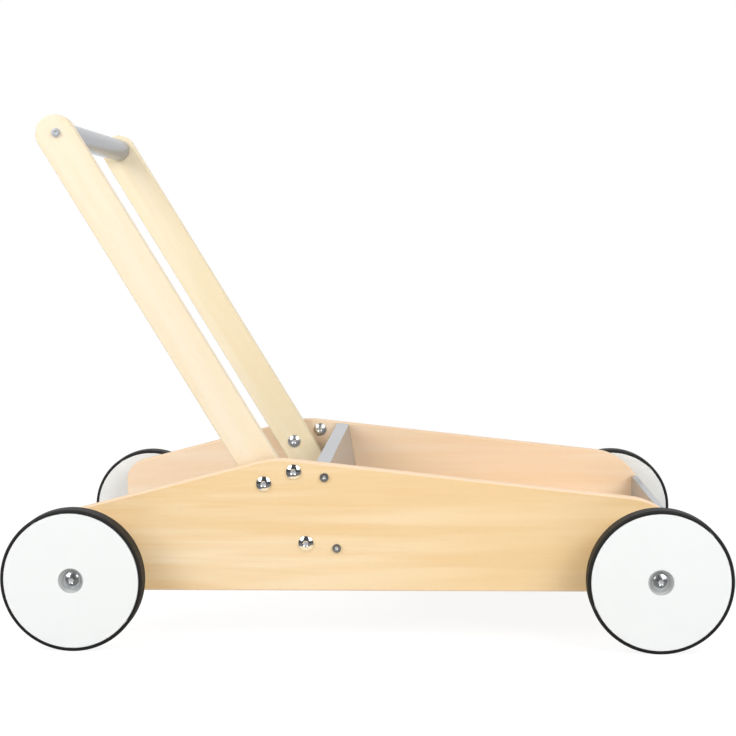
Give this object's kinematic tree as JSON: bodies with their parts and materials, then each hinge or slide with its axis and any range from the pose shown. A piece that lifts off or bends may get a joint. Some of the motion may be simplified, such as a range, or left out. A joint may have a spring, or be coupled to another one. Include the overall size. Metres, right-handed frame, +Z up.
{
  "type": "baby push walker",
  "caption": "Wooden baby push walker: an open box with a sloping top edge on rubber-tyred wheels, and a push handle of slats and a round bar that bolts at either of its angles.",
  "frame": {"origin": "on the ground, midway between the axles and between the sides", "axes": "+X forwards, +Y to the child's left, +Z up"},
  "size_m": [0.6066, 0.36, 0.4483],
  "materials": {
    "beech": "warm beech plywood, clear satin lacquer, grain along the length",
    "birch": "pale birch, clear satin lacquer",
    "grey_paint": "light blue-grey satin paint on wood",
    "white_paint": "satin white paint on fibreboard",
    "tyre_rubber": "matt black rubber band",
    "zinc_steel": "bright zinc-plated steel",
    "nylon": "pale nylon"
  },
  "bodies": {
    "chassis": {"right_side_board": "beech", "left_side_board": "beech", "floor_panel": "birch", "divider_panel": "grey_paint", "front_panel": "grey_paint", "front_right_axle_bolt": "zinc_steel", "front_left_axle_bolt": "zinc_steel", "rear_right_axle_bolt": "zinc_steel", "rear_left_axle_bolt": "zinc_steel", "front_right_axle_spacer": "nylon", "front_left_axle_spacer": "nylon", "rear_right_axle_spacer": "nylon", "rear_left_axle_spacer": "nylon", "front_right_axle_insert": "zinc_steel", "front_left_axle_insert": "zinc_steel", "rear_right_axle_insert": "zinc_steel", "rear_left_axle_insert": "zinc_steel", "right_pivot_bolt": "zinc_steel", "left_pivot_bolt": "zinc_steel", "right_pivot_washer": "nylon", "left_pivot_washer": "nylon", "right_pivot_nut": "zinc_steel", "left_pivot_nut": "zinc_steel", "right_recline_bolt": "zinc_steel", "left_recline_bolt": "zinc_steel", "right_recline_washer": "nylon", "left_recline_washer": "nylon", "right_upright_bolt": "zinc_steel", "left_upright_bolt": "zinc_steel", "right_upright_nut": "zinc_steel", "left_upright_nut": "zinc_steel", "right_divider_top_screw": "zinc_steel", "left_divider_top_screw": "zinc_steel", "right_divider_foot_screw": "zinc_steel", "left_divider_foot_screw": "zinc_steel", "right_front_top_screw": "zinc_steel", "left_front_top_screw": "zinc_steel", "right_front_foot_screw": "zinc_steel", "left_front_foot_screw": "zinc_steel"},
    "handle": {"right_handle_slat": "birch", "left_handle_slat": "birch", "handle_bar": "grey_paint", "right_bar_screw": "zinc_steel", "left_bar_screw": "zinc_steel", "right_lock_sleeve_nut": "zinc_steel", "left_lock_sleeve_nut": "zinc_steel"},
    "front_right_wheel": {"front_right_wheel_disc": "white_paint", "front_right_tyre": "tyre_rubber", "front_right_wheel_bush": "nylon"},
    "front_left_wheel": {"front_left_wheel_disc": "white_paint", "front_left_tyre": "tyre_rubber", "front_left_wheel_bush": "nylon"},
    "rear_right_wheel": {"rear_right_wheel_disc": "white_paint", "rear_right_tyre": "tyre_rubber", "rear_right_wheel_bush": "nylon"},
    "rear_left_wheel": {"rear_left_wheel_disc": "white_paint", "rear_left_tyre": "tyre_rubber", "rear_left_wheel_bush": "nylon"}
  },
  "joints": [
    {"name": "handle_tilt", "type": "hinge", "parent": "chassis", "child": "handle", "pos_m": [-0.05, 0, 0.08482], "axis": [0, 1, 0], "range_deg": [0, 25.5]},
    {"name": "front_right_roll", "type": "hinge", "parent": "chassis", "child": "front_right_wheel", "pos_m": [0.2435, -0.17175, 0.05982], "axis": [0, 1, 0], "continuous": true},
    {"name": "front_left_roll", "type": "hinge", "parent": "chassis", "child": "front_left_wheel", "pos_m": [0.2435, 0.17175, 0.05982], "axis": [0, 1, 0], "continuous": true},
    {"name": "rear_right_roll", "type": "hinge", "parent": "chassis", "child": "rear_right_wheel", "pos_m": [-0.2435, -0.17175, 0.05982], "axis": [0, 1, 0], "continuous": true},
    {"name": "rear_left_roll", "type": "hinge", "parent": "chassis", "child": "rear_left_wheel", "pos_m": [-0.2435, 0.17175, 0.05982], "axis": [0, 1, 0], "continuous": true}
  ]
}
